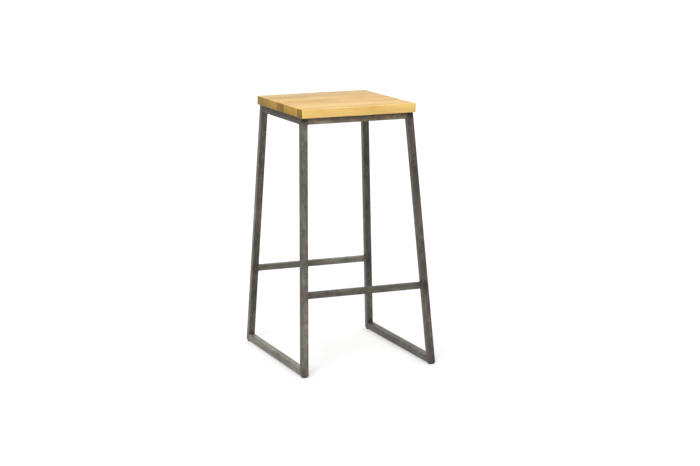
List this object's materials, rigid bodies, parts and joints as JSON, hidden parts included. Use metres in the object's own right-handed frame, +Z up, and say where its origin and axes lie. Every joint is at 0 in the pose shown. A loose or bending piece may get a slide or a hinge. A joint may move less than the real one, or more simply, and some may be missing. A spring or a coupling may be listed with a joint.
{
  "type": "bar stool",
  "caption": "Backless bar stool: flat rectangular oak seat on a welded frame of square steel tube, with splayed legs, floor runners at the sides and footrest bars at the front and back.",
  "frame": {"origin": "on the floor, under the middle of the seat", "axes": "+Z up; +Y towards the back; +X to the right for someone facing the back, along the footrests and the seat's grain; the floor runners lie along Y"},
  "size_m": [0.4148, 0.508, 0.764],
  "materials": {
    "oak": "oiled, satin",
    "lacquered_steel": "bare mill steel under clear lacquer, mottled grey",
    "zinc": "bright zinc plate",
    "glide_plastic": "moulded black"
  },
  "bodies": {
    "root": {"seat_stave_front": "oak", "seat_stave_front_middle": "oak", "seat_stave_middle": "oak", "seat_stave_rear_middle": "oak", "seat_stave_rear": "oak", "leg_front_left": "lacquered_steel", "leg_front_right": "lacquered_steel", "leg_rear_left": "lacquered_steel", "leg_rear_right": "lacquered_steel", "floor_runner_left": "lacquered_steel", "floor_runner_right": "lacquered_steel", "top_rail_front": "lacquered_steel", "top_rail_rear": "lacquered_steel", "top_rail_left": "lacquered_steel", "top_rail_right": "lacquered_steel", "footrest_front": "lacquered_steel", "footrest_rear": "lacquered_steel", "seat_tab_front_left": "lacquered_steel", "seat_tab_front_right": "lacquered_steel", "seat_tab_rear_left": "lacquered_steel", "seat_tab_rear_right": "lacquered_steel", "seat_screws": "zinc", "glide_front_left": "glide_plastic", "glide_front_right": "glide_plastic", "glide_rear_left": "glide_plastic", "glide_rear_right": "glide_plastic"}
  },
  "joints": []
}
